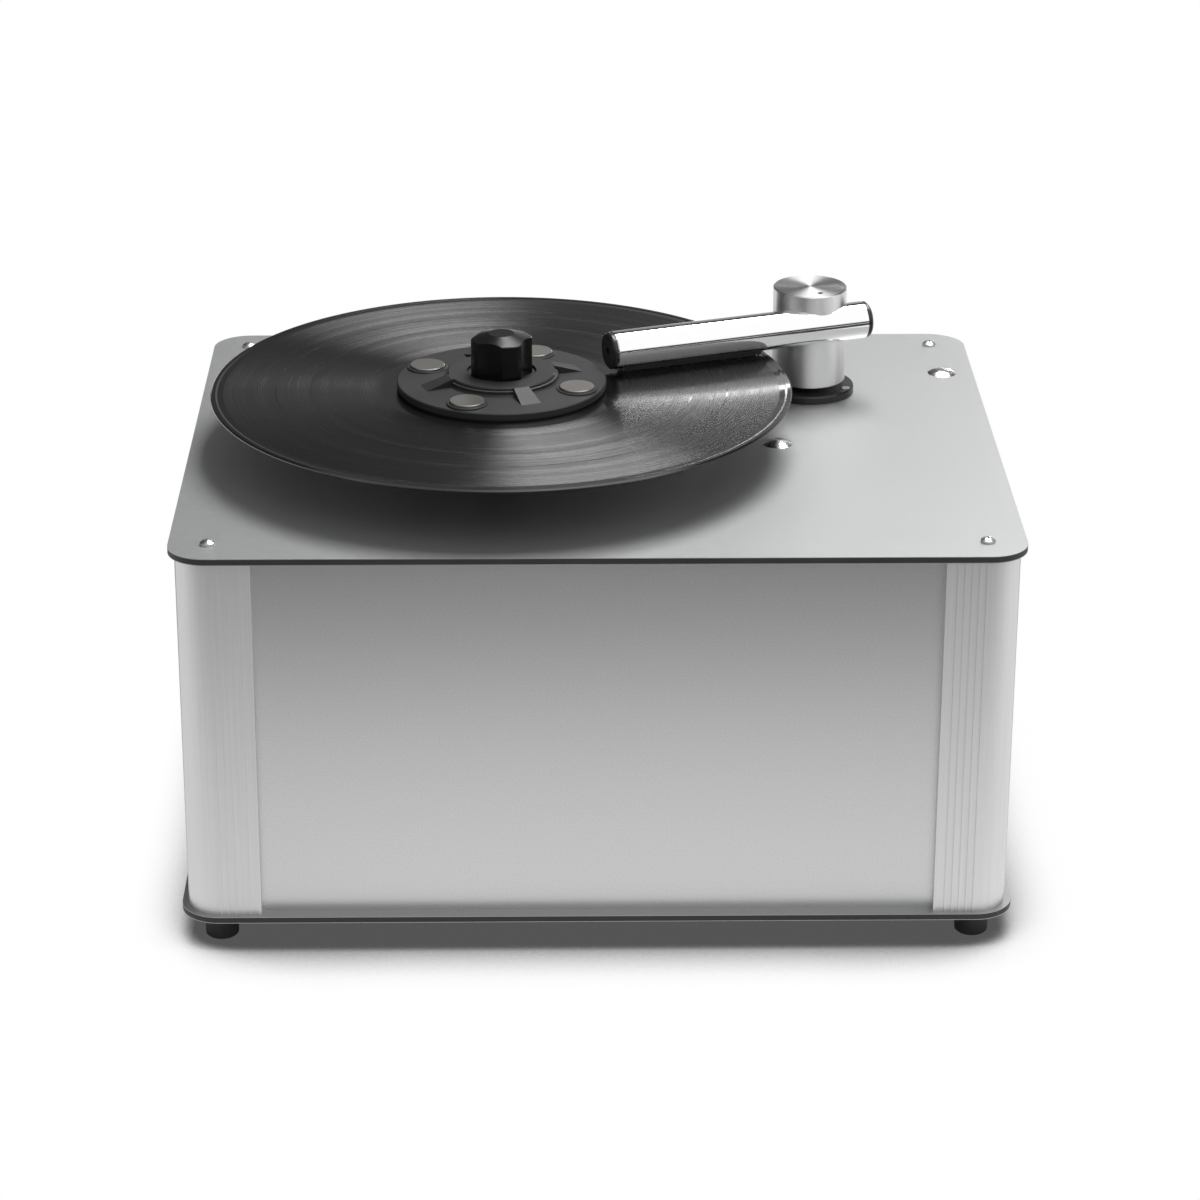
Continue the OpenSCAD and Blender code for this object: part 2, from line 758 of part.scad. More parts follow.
module clamp_seal() {
    color("#101010") at_platter() translate([0, 0, record_z]) rotate_extrude() polygon([
        [seal_inner_r + 0.4, 0], [seal_inner_r + seal_w - 0.4, 0], [seal_inner_r + seal_w, 0.4],
        [seal_inner_r + seal_w, seal_gap + seal_groove], [seal_inner_r, seal_gap + seal_groove],
        [seal_inner_r, 0.4]
    ]);
}

// Four-lobed knob with a conical crown: concave flutes point at the magnets
module clamp_knob() {
    foot = record_z + knob_recess_h;
    rim = record_z + knob_rim_h;
    crown = rim + crown_h;
    color("#1c1c1d") at_platter() difference() {
        intersection() {
            rotate_extrude() polygon([
                [0, foot], [knob_r, foot], [knob_r, rim - 0.4], [knob_r - 0.5, rim],
                [knob_cap_r, crown], [0, crown]
            ]);
            translate([0, 0, foot - 1]) linear_extrude(knob_rim_h + crown_h) difference() {
                circle(r = knob_r + 1);
                ring_of(4, knob_r - flute_depth + flute_r, magnet_angle) circle(r = flute_r);
            }
        }
        translate([0, 0, foot - 1]) cylinder(r = pin_r + 1, h = pin_rise - knob_recess_h + 3);
        translate([0, 0, crown - 1.6]) cylinder(r = knob_cap_r - 0.1, h = 3);
    }
}

module knob_cap() {
    color("#2a2a2b") at_platter() translate([0, 0, record_z + knob_rim_h + crown_h - 1.6])
        cylinder(r = knob_cap_r - 0.2, h = 1.5);
}

// Suction arm

module arm_flange() {
    color("#1d1e1f") at_arm() difference() {
        rotate_extrude() polygon([
            [bush_tube_r + 1.1, bush_head_t], [bush_head_r + 0.1, bush_head_t], [bush_head_r + 0.1, 0],
            [flange_r, 0], [flange_r, flange_t - 0.7], [flange_r - 0.7, flange_t],
            [bush_tube_r + 1.1, flange_t]
        ]);
        ring_of(3, flange_screw_circle_r, 136) translate([0, 0, -1]) cylinder(r = 1.3, h = 8);
        ring_of(3, flange_screw_circle_r, 136) translate([0, 0, flange_t - 1.2])
            cylinder(r1 = 1.25, r2 = 2.25, h = 1.21);
    }
}

module flange_screws() {
    color("#d6d8da") at_arm() ring_of(3, flange_screw_circle_r, 136) difference() {
        union() {
            translate([0, 0, flange_t - 1.2]) cylinder(r1 = 1.2, r2 = 2.15, h = 1.2);
            translate([0, 0, -panel_t - lid_t]) cylinder(r = 1.2, h = panel_t + lid_t + flange_t - 1);
        }
        for (a = [0, 90]) rotate(a) translate([-1.2, -0.25, flange_t - 0.5]) cube([2.4, 0.5, 1]);
    }
}

module arm_bush() {
    color("#b08d4c") at_arm() difference() {
        union() {
            cylinder(r = bush_head_r, h = bush_head_t);
            translate([0, 0, bush_bottom_h]) cylinder(r = bush_tube_r, h = bush_head_t - bush_bottom_h);
        }
        translate([0, 0, bush_bottom_h - 1]) cylinder(r = riser_r + running_gap, h = 40);
    }
}

// Nut under the lid, with a cup that catches the fluid below the riser and lets it into the tank
module bush_nut() {
    nut_top_h = -panel_t - lid_t;
    color("#b9bbbd") at_arm() difference() {
        union() {
            translate([0, 0, nut_top_h - nut_t]) cylinder(r = nut_r, h = nut_t, $fn = 6);
            translate([0, 0, cup_bottom_h]) cylinder(r = cup_r, h = nut_top_h - nut_t - cup_bottom_h + 0.1);
        }
        translate([0, 0, cup_bottom_h + cup_floor_t])
            cylinder(r = bush_tube_r + 0.02, h = nut_top_h - cup_bottom_h);
        translate([0, 0, cup_bottom_h - 1]) cylinder(r = cup_outlet_r, h = cup_floor_t + 2);
    }
}

// Coil spring under the riser's collar, as one swept wire
spring_steps = 20;
spring_sides = 6;

function spring_point(i, length, steps) = let (a = 360*spring_turns*i/steps)
    [spring_mean_r*cos(a), spring_mean_r*sin(a), spring_wire_r + (length - 2*spring_wire_r)*i/steps, a];

module lift_spring() {
    length = riser_collar_h - spring_bottom_h - 0.1;
    steps = spring_turns*spring_steps;
    points = [for (i = [0:steps], s = [0:spring_sides - 1])
        let (p = spring_point(i, length, steps), t = 360*s/spring_sides, r = spring_mean_r + spring_wire_r*cos(t))
        [r*cos(p[3]), r*sin(p[3]), p[2] + spring_wire_r*sin(t)]];
    last = steps*spring_sides;
    sides = [for (i = [0:steps - 1], s = [0:spring_sides - 1], k = [0, 1])
        let (a = i*spring_sides + s, b = i*spring_sides + (s + 1)%spring_sides)
        k == 0 ? [a, a + spring_sides, b] : [b, a + spring_sides, b + spring_sides]];
    ends = [for (s = [1:spring_sides - 2], k = [0, 1])
        k == 0 ? [0, s, s + 1] : [last, last + s + 1, last + s]];
    color("#9fa3a6") at_arm() translate([0, 0, spring_bottom_h])
        polyhedron(points = points, faces = concat(sides, ends), convexity = 10);
}

module riser_tube() {
    color("#c4c7ca") at_arm() difference() {
        union() {
            translate([0, 0, riser_bottom_h]) cylinder(r = riser_r, h = riser_top_h - riser_bottom_h);
            translate([0, 0, riser_collar_h]) cylinder(r = riser_collar_r, h = riser_collar_t);
            translate([0, 0, stop_ring_h]) cylinder(r = stop_ring_r, h = stop_ring_t);
        }
        translate([0, 0, riser_bottom_h - 1]) cylinder(r = riser_bore_r, h = riser_top_h - riser_bottom_h + 2);
    }
}

// Turned column with a side channel for the tube and an air passage up its axis
module arm_column() {
    color("#c6c8ca") at_arm() difference() {
        rotate_extrude() polygon([
            [0, column_foot_h], [column_r - 0.4, column_foot_h], [column_r, column_foot_h + 0.4],
            [column_r, column_top_h - 0.5], [column_r - 0.5, column_top_h], [0, column_top_h]
        ]);
        translate([0, 0, column_foot_h - 1]) cylinder(r = riser_collar_r + 0.4, h = riser_seat_h - column_foot_h + 1);
        translate([0, 0, riser_seat_h - 0.1]) cylinder(r = riser_r + running_gap, h = riser_top_h - riser_seat_h + 0.3);
        translate([0, 0, riser_seat_h]) cylinder(r = riser_bore_r, h = tube_h - riser_seat_h + 3);
        translate([-2*column_r, tube_offset, tube_h]) rotate([0, 90, 0])
            cylinder(r = tube_r + 0.03, h = 4*column_r);
        translate([0, 0, tube_h]) rotate([-90, 0, 0]) cylinder(r = tube_port_r, h = tube_offset);
        translate([0, tube_offset, tube_h]) cylinder(r = 1.5, h = 30);
        rotate(slit_angle) translate([column_r - slit_depth, -slit_w/2, column_foot_h - 1])
            cube([slit_depth + 1, slit_w, column_top_h - column_foot_h + 2]);
    }
}

module column_set_screw() {
    color("#55585a") at_arm() translate([0, tube_offset, tube_h + tube_r - 0.4]) difference() {
        cylinder(r = 1.45, h = column_top_h - tube_h - tube_r + 0.1);
        translate([0, 0, column_top_h - tube_h - tube_r - 1.2]) cylinder(r = 0.8, h = 3, $fn = 6);
    }
}

module along_tube() {
    translate([0, tube_offset, tube_h]) rotate([0, 90, 0]) children();
}

module suction_tube() {
    length = tube_reach + tube_tail;
    color("#dcdee0") at_arm() difference() {
        translate([-tube_tail, 0, 0]) along_tube() rotate_extrude() polygon([
            [tube_bore_r, 0], [tube_r - 0.6, 0], [tube_r, 0.6], [tube_r, length - 0.6],
            [tube_r - 0.6, length], [tube_bore_r, length]
        ]);
        translate([slot_start - 2, tube_offset - 5, tube_h - tube_r - 1])
            cube([slot_end - slot_start + 4, 10, tube_r - lip_seat + 1]);
        translate([slot_start, tube_offset - slot_w/2, tube_h - tube_r - 1])
            cube([slot_end - slot_start, slot_w, tube_wall + 2]);
        translate([0, tube_offset - tube_r - 1, tube_h]) rotate([-90, 0, 0])
            cylinder(r = tube_port_r, h = tube_wall + 3);
        translate([0, tube_offset, tube_h + tube_r - 0.4]) cylinder(r = 1.55, h = 3);
    }
}

module suction_lips() {
    color("#2b2b2d") at_arm() for (s = [-1, 1])
        translate([slot_start - 1, tube_offset + s*(slot_w/2 + lip_w_each/2) - lip_w_each/2, tube_h - lip_seat - lip_t])
            cube([slot_end - slot_start + 2, lip_w_each, lip_t]);
}

// Plugs in both ends of the tube, each with a hexagon socket
module tube_end_caps() {
    color("#17181a") at_arm() {
        translate([tube_reach, 0, 0]) along_tube() tube_plug();
        translate([-tube_tail, 0, 0]) along_tube() rotate([180, 0, 0]) tube_plug();
    }
}

module tube_plug() {
    difference() {
        rotate_extrude() polygon([
            [0, -cap_spigot_l], [tube_bore_r - 0.05, -cap_spigot_l], [tube_bore_r - 0.05, 0], [tube_r - 0.4, 0],
            [tube_r - 0.3, cap_t - 0.9], [tube_r - 1.1, cap_t], [0, cap_t]
        ]);
        translate([0, 0, cap_t - 1.2]) cylinder(r = 2.2, h = 3, $fn = 6);
    }
}

// Waste tank and vacuum

lid_x0 = min(bolt_a.x, tank_x0) - lid_margin;
lid_x1 = max(bolt_b.x, tank_x0 + tank_w) + lid_margin;
lid_y0 = bolt_a.y - lid_margin;
lid_y1 = max(bolt_b.y + lid_margin, tank_y0 + tank_d + 2);

module tank_lid() {
    color("#3c3f42") difference() {
        translate([0, 0, under_top_z - lid_t]) linear_extrude(lid_t) difference() {
            translate([(lid_x0 + lid_x1)/2, (lid_y0 + lid_y1)/2]) rounded_rect(lid_x1 - lid_x0, lid_y1 - lid_y0, 5);
            for (b = [bolt_a, bolt_b]) translate(b) circle(r = bolt_r + 0.2);
            translate([arm_x, arm_y]) circle(r = bush_tube_r + 0.2);
        }
        at_arm() ring_of(3, flange_screw_circle_r, 136) translate([0, 0, -panel_t - lid_t - 1])
            cylinder(r = 1.25, h = lid_t + 2);
    }
}

module tank_outline(inset) {
    translate([tank_x0 + tank_w/2, tank_y0 + tank_d/2])
        rounded_rect(tank_w - 2*inset, tank_d - 2*inset, 8 - inset);
}

// Open tank with a rolled gasket on its rim, an air port in front and a drain port behind
module waste_tank() {
    color("#d9dde0") difference() {
        union() {
            translate([0, 0, tank_bottom_z]) linear_extrude(tank_h + gasket_t) tank_outline(0);
            translate([vacuum_x, tank_y0 - 16, hose_port_z]) rotate([-90, 0, 0]) cylinder(r = spigot_r, h = 18);
            translate([drain_x, tank_y0 + tank_d - 1, drain_z]) rotate([-90, 0, 0]) cylinder(r = drain_r, h = 13);
        }
        translate([0, 0, tank_bottom_z + tank_wall]) linear_extrude(tank_h + gasket_t) tank_outline(tank_wall);
        translate([vacuum_x, tank_y0 - 17, hose_port_z]) rotate([-90, 0, 0]) cylinder(r = spigot_r - 2, h = 25);
        translate([drain_x, tank_y0 + tank_d - 5, drain_z]) rotate([-90, 0, 0]) cylinder(r = drain_r - 2, h = 25);
    }
}

module vacuum_motor() {
    color("#7d8184") translate([vacuum_x, vacuum_y, 0]) difference() {
        union() {
            translate([0, 0, vacuum_z]) rotate_extrude() polygon([
                [0, 0], [can_r - 6, 0], [can_r, 6], [can_r, can_h], [0, can_h]
            ]);
            ring_of(3, can_r - 6) translate([0, 0, post_z]) cylinder(r = 5, h = buffer_h + 8);
        }
        translate([0, 0, vacuum_z + 14]) ring_of(12, can_r) translate([-3, -2, 0]) cube([6, 4, 22]);
    }
}

module fan_housing() {
    color("#5c6063") translate([vacuum_x, vacuum_y, fan_z]) difference() {
        rotate_extrude() polygon([
            [0, 0], [fan_r - 4, 0], [fan_r, 4], [fan_r, fan_h - 8], [fan_r - 8, fan_h], [spigot_r + 3, fan_h],
            [spigot_r, fan_h + 2], [spigot_r, fan_h + spigot_h], [spigot_r - 2, fan_h + spigot_h],
            [spigot_r - 2, fan_h - 4], [0, fan_h - 4]
        ]);
        translate([0, 0, fan_h/2 - 3]) ring_of(16, fan_r) translate([-2, -3, -6]) cube([5, 6, 16]);
    }
}

// Ribbed hose: up from the fan housing, one bend, and into the tank's port
module air_hose() {
    start_z = spigot_z + 3;
    bend_z = hose_port_z - hose_bend_r;
    bend_y = vacuum_y + hose_bend_r;
    end_y = tank_y0 - 1;
    rib = 1;
    rib_step = 4;
    color("#2b2d2f") translate([vacuum_x, 0, 0]) {
        translate([0, vacuum_y, start_z]) hose_run(bend_z - start_z);
        translate([0, bend_y, bend_z]) rotate([90, 0, -90]) rotate_extrude(angle = 90)
            translate([hose_bend_r, 0]) difference() {
                circle(r = hose_r);
                circle(r = hose_bore_r);
            }
        translate([0, bend_y, hose_port_z]) rotate([-90, 0, 0]) hose_run(end_y - bend_y);
    }
}

module hose_run(length) {
    rib = 0.8;
    pitch = 4;
    count = floor((length - 3)/pitch);
    difference() {
        union() {
            cylinder(r = hose_r, h = length);
            for (i = [0:count - 1]) translate([0, 0, 2 + i*pitch]) cylinder(r = hose_r + rib, h = 1.6);
        }
        translate([0, 0, -1]) cylinder(r = hose_bore_r, h = length + 2);
    }
}

// Drain pipe through the rear panel, and the elbow that vents the level tube
module drain_fittings() {
    pipe_y = tank_y0 + tank_d + 12.2;
    color("#4a4d50") {
        translate([drain_x, pipe_y, drain_z]) rotate([-90, 0, 0]) difference() {
            cylinder(r = drain_r, h = wall_y - pipe_y + 0.6);
            translate([0, 0, -1]) cylinder(r = drain_r - 2, h = wall_y - pipe_y - drain_plug_l + 1);
        }
        for (z = [drain_z, level_top_z]) translate([drain_x, wall_y + 0.6, z]) rotate([-90, 0, 0])
            cylinder(r = fitting_flange_r, h = 1.2);
        translate([drain_x, wall_y - 6, level_top_z]) rotate([-90, 0, 0]) cylinder(r = fitting_r, h = 7);
        for (z = [drain_z, level_top_z]) translate([drain_x, level_y, z - fitting_half_h])
            cylinder(r = fitting_r, h = 2*fitting_half_h);
    }
}

module level_tube() {
    low = drain_z + fitting_half_h;
    high = level_top_z - fitting_half_h;
    color("#cfe2e8") translate([drain_x, level_y, low]) difference() {
        cylinder(r = level_tube_r, h = high - low);
        translate([0, 0, -1]) cylinder(r = level_tube_bore_r, h = high - low + 2);
    }
}

// Switches and mains inlet

module on_right(y, z) {
    translate([wall_x, y, z]) rotate([90, 0, 90]) children();
}

module on_rear(x, z) {
    translate([x, wall_y, z]) rotate([90, 0, 180]) children();
}

// Switch frame: outer face of the panel on z = 0, outwards up, rocker along Y
module switch_housing() {
    well_w = rocker_w + 2*rocker_gap;
    body = [well_w + 2*switch_wall, 2*well_l + 2*switch_wall];
    difference() {
        union() {
            translate([-body.x/2, -body.y/2, -switch_depth]) cube([body.x, body.y, switch_depth + 1]);
            translate([-body.x/2 - bezel_lip, -body.y/2 - bezel_lip, 0])
                cube([body.x + 2*bezel_lip, body.y + 2*bezel_lip, bezel_t]);
            for (y = [-6, 0, 6]) translate([-2.4, y - 0.4, -switch_depth - 6]) cube([4.8, 0.8, 7]);
        }
        translate([-well_w/2, -well_l, rocker_pivot_h - well_depth]) cube([well_w, 2*well_l, 20]);
        translate([-body.x/2 - 0.5, 0, rocker_pivot_h]) rotate([0, 90, 0])
            cylinder(r = rocker_pin_r + running_gap, h = body.x + 1);
    }
}

module rocker(tilt) {
    translate([0, 0, rocker_pivot_h]) rotate([tilt, 0, 0]) {
        translate([-rocker_w/2, 0, 0]) rotate([90, 0, 90]) linear_extrude(rocker_w) polygon([
            [-rocker_l, rocker_end_h], [0, rocker_mid_h], [rocker_l, rocker_end_h], [rocker_l, -1],
            [4, -5], [-4, -5], [-rocker_l, -1]
        ]);
        translate([-rocker_w/2 - rocker_gap - 0.8, 0, 0]) rotate([0, 90, 0])
            cylinder(r = rocker_pin_r, h = rocker_w + 2*rocker_gap + 1.6);
    }
}

module switch_housings() {
    color("#1a1b1c") {
        on_right(platter_switch_y, switch_z) switch_housing();
        on_right(vacuum_switch_y, switch_z) switch_housing();
        on_rear(power_switch_x, inlet_z) switch_housing();
    }
}

module platter_rocker() {
    color("#222324") on_right(platter_switch_y, switch_z) rocker(0);
}

module vacuum_rocker() {
    color("#222324") on_right(vacuum_switch_y, switch_z) rocker(rocker_tilt);
}

module power_rocker() {
    color("#222324") on_rear(power_switch_x, inlet_z) rocker(rocker_tilt);
}

// Three-pin appliance inlet with its flange screwed to the rear panel
module mains_inlet() {
    cavity = [24.8, 16.8];
    color("#17181a") on_rear(inlet_x, inlet_z) {
        difference() {
            union() {
                translate([-inlet_w/2, -inlet_h/2, -inlet_depth]) cube([inlet_w, inlet_h, inlet_depth + 1]);
                linear_extrude(2.5) {
                    rounded_rect(inlet_w + 3, inlet_h + 3, 2);
                    square([40, 8], center = true);
                    for (s = [-1, 1]) translate([s*20, 0]) circle(r = 4);
                }
            }
            translate([-cavity.x/2, -cavity.y/2, -14]) cube([cavity.x, cavity.y, 20]);
            for (s = [-1, 1]) translate([s*20, 0, -1]) cylinder(r = 1.6, h = 5);
        }
        for (p = [[-7, 2], [0, -2], [7, 2]]) translate([p.x - 1, p.y - 2, -14.5]) cube([2, 4, 12]);
    }
}

module control_board() {
    board = [90, 70];
    origin = [-wall_half_x + 8, -30];
    color("#2f6b45") translate([origin.x, origin.y, post_z]) {
        for (x = [5, board.x - 5], y = [5, board.y - 5]) translate([x, y, 0]) cylinder(r = 3, h = 8);
        translate([0, 0, 8]) cube([board.x, board.y, 1.6]);
        translate([12, 14, 9.6]) cube([34, 40, 30]);
        for (i = [0:2]) translate([54 + 12*i, 16, 9.6]) cylinder(r = 5, h = 16);
        translate([52, 40, 9.6]) cube([28, 20, 15]);
    }
}

base_panel_core();
base_panel_skins();
top_panel_core();
top_panel_skins();
corner_post_front_left();
corner_post_front_right();
corner_post_rear_left();
corner_post_rear_right();
front_panel();
rear_panel();
left_panel();
right_panel();
feet();
base_screws();
top_screws();
tank_bolts();
tank_bolt_nuts();
bearing_housing();
bearing_bushes();
drip_collar();
bearing_screws();
spindle_shaft();
platter();
platter_magnets();
platter_mat();
record();
motor_plate();
motor_standoffs();
gearbox();
drive_motor();
shaft_coupling();
clamp_disc();
clamp_magnets();
clamp_seal();
clamp_knob();
knob_cap();
arm_flange();
flange_screws();
arm_bush();
bush_nut();
lift_spring();
riser_tube();
arm_column();
suction_tube();
suction_lips();
tube_end_caps();
column_set_screw();
waste_tank();
tank_lid();
vacuum_motor();
fan_housing();
air_hose();
drain_fittings();
level_tube();
mains_inlet();
switch_housings();
power_rocker();
platter_rocker();
vacuum_rocker();
control_board();
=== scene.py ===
"""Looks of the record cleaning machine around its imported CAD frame. Metres, +Z up, front towards -Y."""

import json
import math

import bpy
from mathutils import Matrix, Vector


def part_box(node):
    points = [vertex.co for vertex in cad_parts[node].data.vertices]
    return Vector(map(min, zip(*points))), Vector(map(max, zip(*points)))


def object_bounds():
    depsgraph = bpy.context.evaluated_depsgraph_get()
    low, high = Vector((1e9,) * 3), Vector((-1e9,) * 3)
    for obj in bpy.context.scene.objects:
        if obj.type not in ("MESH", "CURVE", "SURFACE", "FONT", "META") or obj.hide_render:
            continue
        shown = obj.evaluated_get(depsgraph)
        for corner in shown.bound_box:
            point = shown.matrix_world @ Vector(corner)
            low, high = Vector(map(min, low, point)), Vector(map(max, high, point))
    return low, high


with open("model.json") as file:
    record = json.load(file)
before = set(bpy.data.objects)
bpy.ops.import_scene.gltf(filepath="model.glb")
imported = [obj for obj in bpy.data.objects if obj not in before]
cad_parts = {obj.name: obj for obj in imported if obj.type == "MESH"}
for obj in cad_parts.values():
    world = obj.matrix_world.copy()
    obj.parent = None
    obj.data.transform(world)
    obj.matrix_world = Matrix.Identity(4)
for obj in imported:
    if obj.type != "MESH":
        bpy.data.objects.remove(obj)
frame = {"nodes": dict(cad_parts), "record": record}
cad_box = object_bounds()
nodes = frame["nodes"]

# Places taken from the frame
record_low, record_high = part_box("record")
record_centre = (record_low + record_high)/2
record_radius = (record_high.x - record_low.x)/2
column_low, column_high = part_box("arm_column")
column_centre = (column_low + column_high)/2
board_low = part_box("control_board")[0]

# Radii where the record's grooves begin and end, and of the plain rings between its tracks
LEAD_IN = record_radius - 0.0065
TRACK_GAPS = (0.1170, 0.0990)
GAP_WIDTH = 0.0009
RUN_OUT = 0.0630

# Direction from the column to the tube's tip, anticlockwise from +X
TUBE_ANGLE = math.radians(200.295)
# How far down from the column's top its colour is painted darker as painted shade, and where the parts on
# the circuit board begin above its foot
TOP_SHADE_DEPTH = 0.0004
BOARD_PARTS = 0.0098

# Camera, fitted to the photo's corners, circles and screws
CAMERA_PLACE = Vector((-0.02975, -1.85893, 0.89583))
CAMERA_YAW = -0.0179
CAMERA_DOWN = 0.3954
CAMERA_ROLL = 0.0033
CAMERA_LENS = 113.566

# How far the floor's contact shadow reaches from the object, and how dark it gets
SHADOW_REACH = 0.08
SHADOW_LEVEL = 0.09
# Widths over which the shadow ends beside the object, inside and outside its edge
SIDE_INSIDE = 0.005
SIDE_OUTSIDE = 0.03

# The overhead soft box: radiance, size and place from the record's centre
KEY_RADIANCE = 10
KEY_SIZE = (0.74, 0.98)
KEY_OFFSET = Vector((0.37, 0.61, 1.25))
# The low strip behind, which draws the white streaks across the grooves
STREAK_RADIANCE = 30
STREAK_SIZE = (0.05, 0.5)
STREAK_OFFSET = Vector((0.72, 1.95, 0.30))
# What diffuse surfaces get from the room
ROOM_LIGHT = 0.42
# The dark floor before the object that only mirrors see: size, place and level
DARK_SIZE = (5, 3)
DARK_PLACE = (0, -2.02, 0.0005)
DARK_LEVEL = 0.05
FLOOR_SIZE = (8, 8)

scene = bpy.context.scene
scene.view_settings.view_transform = "Standard"


def link(obj):
    scene.collection.objects.link(obj)
    return obj


def make_camera():
    data = bpy.data.cameras.new("camera")
    data.lens = CAMERA_LENS
    data.sensor_width = 36
    data.clip_start = 0.05
    camera = link(bpy.data.objects.new("camera", data))
    turn = Matrix.Rotation(CAMERA_YAW, 4, "Z")
    tilt = Matrix.Rotation(math.pi/2 - CAMERA_DOWN, 4, "X")
    roll = Matrix.Rotation(CAMERA_ROLL, 4, "Z")
    camera.matrix_world = Matrix.Translation(CAMERA_PLACE) @ turn @ tilt @ roll
    scene.camera = camera


# Node helpers

QUARTER_TURN = 0.25


class Tree:
    """A node tree with short calls to add and link nodes."""

    def __init__(self, owner):
        owner.use_nodes = True
        self.nodes = owner.node_tree.nodes
        self.links = owner.node_tree.links
        self.nodes.clear()

    def add(self, kind, **settings):
        node = self.nodes.new("ShaderNode" + kind)
        for name, value in settings.items():
            setattr(node, name, value)
        return node

    def plug(self, value, socket):
        """Links a socket, or sets a constant."""
        if isinstance(value, bpy.types.NodeSocket):
            self.links.new(value, socket)
        else:
            socket.default_value = value

    def math(self, operation, a, b=0.0):
        node = self.add("Math", operation=operation)
        self.plug(a, node.inputs[0])
        self.plug(b, node.inputs[1])
        return node.outputs[0]

    def vector(self, operation, a, b=(0, 0, 0)):
        node = self.add("VectorMath", operation=operation)
        self.plug(a, node.inputs[0])
        self.plug(b, node.inputs[1])
        return node.outputs["Value" if operation in ("LENGTH", "DOT_PRODUCT") else "Vector"]

    def spread(self, value, low, high, to_low=0.0, to_high=1.0, smooth=False):
        """Takes value from the range low to high on to to_low to to_high, and holds it at the ends."""
        node = self.add("MapRange", clamp=True)
        if smooth:
            node.interpolation_type = "SMOOTHSTEP"
        self.plug(value, node.inputs["Value"])
        for name, number in (("From Min", low), ("From Max", high), ("To Min", to_low), ("To Max", to_high)):
            self.plug(number, node.inputs[name])
        return node.outputs["Result"]

    def mix(self, share, a, b):
        """Mixes two colours."""
        node = self.add("Mix", data_type="RGBA")
        sockets = [socket for socket in node.inputs if socket.enabled]
        for value, socket in zip((share, a, b), sockets):
            self.plug(value, socket)
        return next(socket for socket in node.outputs if socket.enabled)

    def pick(self, share, a, b):
        """Mixes two numbers."""
        near_a = self.math("MULTIPLY", self.math("SUBTRACT", 1.0, share), a)
        return self.math("ADD", near_a, self.math("MULTIPLY", share, b))

    def place(self, centre=(0, 0, 0)):
        """Object coordinates, measured from centre."""
        coordinates = self.add("TexCoord")
        return self.vector("SUBTRACT", coordinates.outputs["Object"], tuple(centre))

    def part(self, vector, axis):
        node = self.add("SeparateXYZ")
        self.plug(vector, node.inputs[0])
        return node.outputs[axis]

    def join(self, x=0.0, y=0.0, z=0.0):
        node = self.add("CombineXYZ")
        for value, socket in zip((x, y, z), node.inputs):
            self.plug(value, socket)
        return node.outputs[0]

    def noise(self, vector, scale, detail=2.0, roughness=0.5, stretch=(1, 1, 1)):
        """Noise whose features are about 1/scale metres wide, divided by stretch along each axis."""
        node = self.add("TexNoise")
        self.plug(self.vector("MULTIPLY", vector, tuple(stretch)), node.inputs["Vector"])
        node.inputs["Scale"].default_value = scale
        node.inputs["Detail"].default_value = detail
        node.inputs["Roughness"].default_value = roughness
        return node.outputs["Fac"]

    def radius(self, place):
        """Distance from the Z axis through the centre that place is measured from."""
        flat = self.vector("MULTIPLY", place, (1, 1, 0))
        return self.vector("LENGTH", flat)

    def bump(self, height, depth, strength):
        node = self.add("Bump")
        node.inputs["Strength"].default_value = strength
        node.inputs["Distance"].default_value = depth
        self.plug(height, node.inputs["Height"])
        return node.outputs["Normal"]


def grey(value, tint=(1, 1, 1)):
    """A colour, alpha included."""
    return (value*tint[0], value*tint[1], value*tint[2], 1)


class Surface(Tree):
    """A material with one Principled shader."""

    def __init__(self, name, metallic=0.0, **constants):
        self.material = bpy.data.materials.new(name)
        super().__init__(self.material)
        self.shader = self.add("BsdfPrincipled")
        self.shader.inputs["Metallic"].default_value = metallic
        for socket, value in constants.items():
            self.shader.inputs[socket.replace("_", " ")].default_value = value
        out = self.add("OutputMaterial")
        self.links.new(self.shader.outputs[0], out.inputs["Surface"])

    def colour(self, value):
        self.plug(value, self.shader.inputs["Base Color"])

    def rough(self, value):
        self.plug(value, self.shader.inputs["Roughness"])

    def normal(self, value):
        self.plug(value, self.shader.inputs["Normal"])

    def turned(self):
        """Shines as if turned on a lathe about the upright axis."""
        tangent = self.add("Tangent", direction_type="RADIAL", axis="Z")
        self.plug(tangent.outputs[0], self.shader.inputs["Tangent"])
        self.shader.inputs["Anisotropic Rotation"].default_value = QUARTER_TURN


# Metals


def sandwich_skin():
    """Coated sheet: satin, with a fine brushed grain from left to right."""
    s = Surface("sandwich_skin", metallic=0.7)
    place = s.place()
    grain = s.noise(place, 900, 3, 0.6, (0.35, 1, 1))
    cloud = s.noise(place, 14, 2)
    s.colour(s.mix(grain, grey(0.42, (0.985, 0.995, 1)), grey(0.48, (0.985, 0.995, 1))))
    fine_rough = s.spread(grain, 0.3, 0.7, 0.44, 0.50)
    s.rough(s.math("ADD", fine_rough, s.spread(cloud, 0.3, 0.7, -0.01, 0.01)))
    s.normal(s.bump(grain, 0.00001, 0.35))
    return s.material


def post_aluminium():
    """Anodised extrusion: matt, with faint die lines along its length."""
    s = Surface("post_aluminium", metallic=0.85)
    place = s.place()
    lines = s.noise(place, 1400, 2, 0.5, (1, 1, 0.01))
    fine = s.noise(place, 2200, 2)
    s.colour(s.mix(lines, grey(0.72), grey(0.82)))
    s.rough(s.spread(fine, 0.3, 0.7, 0.46, 0.54))
    s.normal(s.bump(s.math("ADD", lines, s.math("MULTIPLY", fine, 0.5)), 0.00001, 0.5))
    return s.material


